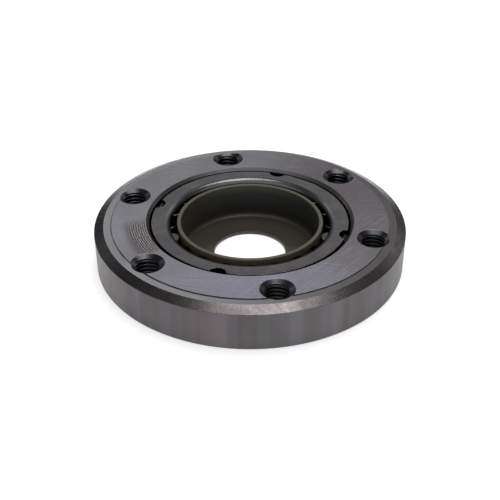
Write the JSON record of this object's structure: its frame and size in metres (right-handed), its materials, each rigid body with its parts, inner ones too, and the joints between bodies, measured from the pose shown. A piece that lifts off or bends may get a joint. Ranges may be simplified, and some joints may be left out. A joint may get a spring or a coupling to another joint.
{
  "type": "sprag clutch",
  "caption": "Sprag clutch: bolted outer race with countersunk tapped holes, a ring of tilting sprags in two sheet cages with a notched flange, and a plastic transport sleeve.",
  "frame": {"origin": "centre of the housing's underside, on the clutch axis", "axes": "+Z along the clutch axis out of the mounting face, +X through one of the tapped holes"},
  "size_m": [0.094, 0.094, 0.0135],
  "materials": {
    "housing_steel": "hardened steel: ground mounting face, turned rim, rough turned chamfer",
    "cage_steel": "dark phosphated sheet steel, rubbed bright along its edges",
    "spring_steel": "blued spring steel strip",
    "sprag_steel": "hardened bearing steel, tumbled, polished cams",
    "sleeve_plastic": "dark olive moulded plastic"
  },
  "bodies": {
    "housing": {"housing": "housing_steel"},
    "inner_cage": {"inner_cage": "cage_steel"},
    "outer_cage": {"outer_cage": "cage_steel", "drag_clip_1": "spring_steel", "drag_clip_2": "spring_steel", "drag_clip_3": "spring_steel", "drag_clip_4": "spring_steel"},
    "ribbon_spring": {"ribbon_spring": "spring_steel"},
    "sprag_01": {"sprag_01": "sprag_steel"},
    "sprag_02": {"sprag_02": "sprag_steel"},
    "sprag_03": {"sprag_03": "sprag_steel"},
    "sprag_04": {"sprag_04": "sprag_steel"},
    "sprag_05": {"sprag_05": "sprag_steel"},
    "sprag_06": {"sprag_06": "sprag_steel"},
    "sprag_07": {"sprag_07": "sprag_steel"},
    "sprag_08": {"sprag_08": "sprag_steel"},
    "sprag_09": {"sprag_09": "sprag_steel"},
    "sprag_10": {"sprag_10": "sprag_steel"},
    "sprag_11": {"sprag_11": "sprag_steel"},
    "sprag_12": {"sprag_12": "sprag_steel"},
    "sprag_13": {"sprag_13": "sprag_steel"},
    "sprag_14": {"sprag_14": "sprag_steel"},
    "sprag_15": {"sprag_15": "sprag_steel"},
    "sprag_16": {"sprag_16": "sprag_steel"},
    "sprag_17": {"sprag_17": "sprag_steel"},
    "sprag_18": {"sprag_18": "sprag_steel"},
    "sprag_19": {"sprag_19": "sprag_steel"},
    "sprag_20": {"sprag_20": "sprag_steel"},
    "transport_sleeve": {"transport_sleeve": "sleeve_plastic"}
  },
  "joints": [
    {"name": "cage_spin", "type": "hinge", "parent": "housing", "child": "inner_cage", "pos_m": [0, 0, 0.00675], "axis": [0, 0, 1], "continuous": true},
    {"name": "sprag_01_tilt", "type": "hinge", "parent": "inner_cage", "child": "sprag_01", "pos_m": [0.02439, 0.00055, 0.00675], "axis": [0, 0, 1], "range_deg": [0, 5], "stiffness_Nm_per_rad": 0.01, "springref_deg": -5.73},
    {"name": "sprag_02_tilt", "type": "hinge", "parent": "inner_cage", "child": "sprag_02", "pos_m": [0.02303, 0.00806, 0.00675], "axis": [0, 0, 1], "range_deg": [0, 5]},
    {"name": "sprag_03_tilt", "type": "hinge", "parent": "inner_cage", "child": "sprag_03", "pos_m": [0.01941, 0.01479, 0.00675], "axis": [0, 0, 1], "range_deg": [0, 5]},
    {"name": "sprag_04_tilt", "type": "hinge", "parent": "inner_cage", "child": "sprag_04", "pos_m": [0.01389, 0.02006, 0.00675], "axis": [0, 0, 1], "range_deg": [0, 5]},
    {"name": "sprag_05_tilt", "type": "hinge", "parent": "inner_cage", "child": "sprag_05", "pos_m": [0.00701, 0.02337, 0.00675], "axis": [0, 0, 1], "range_deg": [0, 5]},
    {"name": "sprag_06_tilt", "type": "hinge", "parent": "inner_cage", "child": "sprag_06", "pos_m": [-0.00055, 0.02439, 0.00675], "axis": [0, 0, 1], "range_deg": [0, 5]},
    {"name": "sprag_07_tilt", "type": "hinge", "parent": "inner_cage", "child": "sprag_07", "pos_m": [-0.00806, 0.02303, 0.00675], "axis": [0, 0, 1], "range_deg": [0, 5]},
    {"name": "sprag_08_tilt", "type": "hinge", "parent": "inner_cage", "child": "sprag_08", "pos_m": [-0.01479, 0.01941, 0.00675], "axis": [0, 0, 1], "range_deg": [0, 5]},
    {"name": "sprag_09_tilt", "type": "hinge", "parent": "inner_cage", "child": "sprag_09", "pos_m": [-0.02006, 0.01389, 0.00675], "axis": [0, 0, 1], "range_deg": [0, 5]},
    {"name": "sprag_10_tilt", "type": "hinge", "parent": "inner_cage", "child": "sprag_10", "pos_m": [-0.02337, 0.00701, 0.00675], "axis": [0, 0, 1], "range_deg": [0, 5]},
    {"name": "sprag_11_tilt", "type": "hinge", "parent": "inner_cage", "child": "sprag_11", "pos_m": [-0.02439, -0.00055, 0.00675], "axis": [0, 0, 1], "range_deg": [0, 5]},
    {"name": "sprag_12_tilt", "type": "hinge", "parent": "inner_cage", "child": "sprag_12", "pos_m": [-0.02303, -0.00806, 0.00675], "axis": [0, 0, 1], "range_deg": [0, 5]},
    {"name": "sprag_13_tilt", "type": "hinge", "parent": "inner_cage", "child": "sprag_13", "pos_m": [-0.01941, -0.01479, 0.00675], "axis": [0, 0, 1], "range_deg": [0, 5]},
    {"name": "sprag_14_tilt", "type": "hinge", "parent": "inner_cage", "child": "sprag_14", "pos_m": [-0.01389, -0.02006, 0.00675], "axis": [0, 0, 1], "range_deg": [0, 5]},
    {"name": "sprag_15_tilt", "type": "hinge", "parent": "inner_cage", "child": "sprag_15", "pos_m": [-0.00701, -0.02337, 0.00675], "axis": [0, 0, 1], "range_deg": [0, 5]},
    {"name": "sprag_16_tilt", "type": "hinge", "parent": "inner_cage", "child": "sprag_16", "pos_m": [0.00055, -0.02439, 0.00675], "axis": [0, 0, 1], "range_deg": [0, 5]},
    {"name": "sprag_17_tilt", "type": "hinge", "parent": "inner_cage", "child": "sprag_17", "pos_m": [0.00806, -0.02303, 0.00675], "axis": [0, 0, 1], "range_deg": [0, 5]},
    {"name": "sprag_18_tilt", "type": "hinge", "parent": "inner_cage", "child": "sprag_18", "pos_m": [0.01479, -0.01941, 0.00675], "axis": [0, 0, 1], "range_deg": [0, 5]},
    {"name": "sprag_19_tilt", "type": "hinge", "parent": "inner_cage", "child": "sprag_19", "pos_m": [0.02006, -0.01389, 0.00675], "axis": [0, 0, 1], "range_deg": [0, 5]},
    {"name": "sprag_20_tilt", "type": "hinge", "parent": "inner_cage", "child": "sprag_20", "pos_m": [0.02337, -0.00701, 0.00675], "axis": [0, 0, 1], "range_deg": [0, 5]},
    {"name": "outer_cage_turn", "type": "hinge", "parent": "inner_cage", "child": "outer_cage", "pos_m": [0, 0, 0.00675], "axis": [0, 0, 1], "range_deg": [0, 0.88]},
    {"name": "ribbon_turn", "type": "hinge", "parent": "inner_cage", "child": "ribbon_spring", "pos_m": [0, 0, 0.00675], "axis": [0, 0, 1], "range_deg": [0, 0.42]},
    {"name": "sleeve_lift", "type": "slide", "parent": "inner_cage", "child": "transport_sleeve", "axis": [0, 0, 1], "range_m": [0, 0.016]}
  ],
  "couplings": [
    {"joint": "sprag_02_tilt", "follows": "sprag_01_tilt", "ratio": 1},
    {"joint": "sprag_03_tilt", "follows": "sprag_01_tilt", "ratio": 1},
    {"joint": "sprag_04_tilt", "follows": "sprag_01_tilt", "ratio": 1},
    {"joint": "sprag_05_tilt", "follows": "sprag_01_tilt", "ratio": 1},
    {"joint": "sprag_06_tilt", "follows": "sprag_01_tilt", "ratio": 1},
    {"joint": "sprag_07_tilt", "follows": "sprag_01_tilt", "ratio": 1},
    {"joint": "sprag_08_tilt", "follows": "sprag_01_tilt", "ratio": 1},
    {"joint": "sprag_09_tilt", "follows": "sprag_01_tilt", "ratio": 1},
    {"joint": "sprag_10_tilt", "follows": "sprag_01_tilt", "ratio": 1},
    {"joint": "sprag_11_tilt", "follows": "sprag_01_tilt", "ratio": 1},
    {"joint": "sprag_12_tilt", "follows": "sprag_01_tilt", "ratio": 1},
    {"joint": "sprag_13_tilt", "follows": "sprag_01_tilt", "ratio": 1},
    {"joint": "sprag_14_tilt", "follows": "sprag_01_tilt", "ratio": 1},
    {"joint": "sprag_15_tilt", "follows": "sprag_01_tilt", "ratio": 1},
    {"joint": "sprag_16_tilt", "follows": "sprag_01_tilt", "ratio": 1},
    {"joint": "sprag_17_tilt", "follows": "sprag_01_tilt", "ratio": 1},
    {"joint": "sprag_18_tilt", "follows": "sprag_01_tilt", "ratio": 1},
    {"joint": "sprag_19_tilt", "follows": "sprag_01_tilt", "ratio": 1},
    {"joint": "sprag_20_tilt", "follows": "sprag_01_tilt", "ratio": 1},
    {"joint": "outer_cage_turn", "follows": "sprag_01_tilt", "ratio": 0.16865},
    {"joint": "ribbon_turn", "follows": "sprag_01_tilt", "ratio": 0.07541}
  ]
}
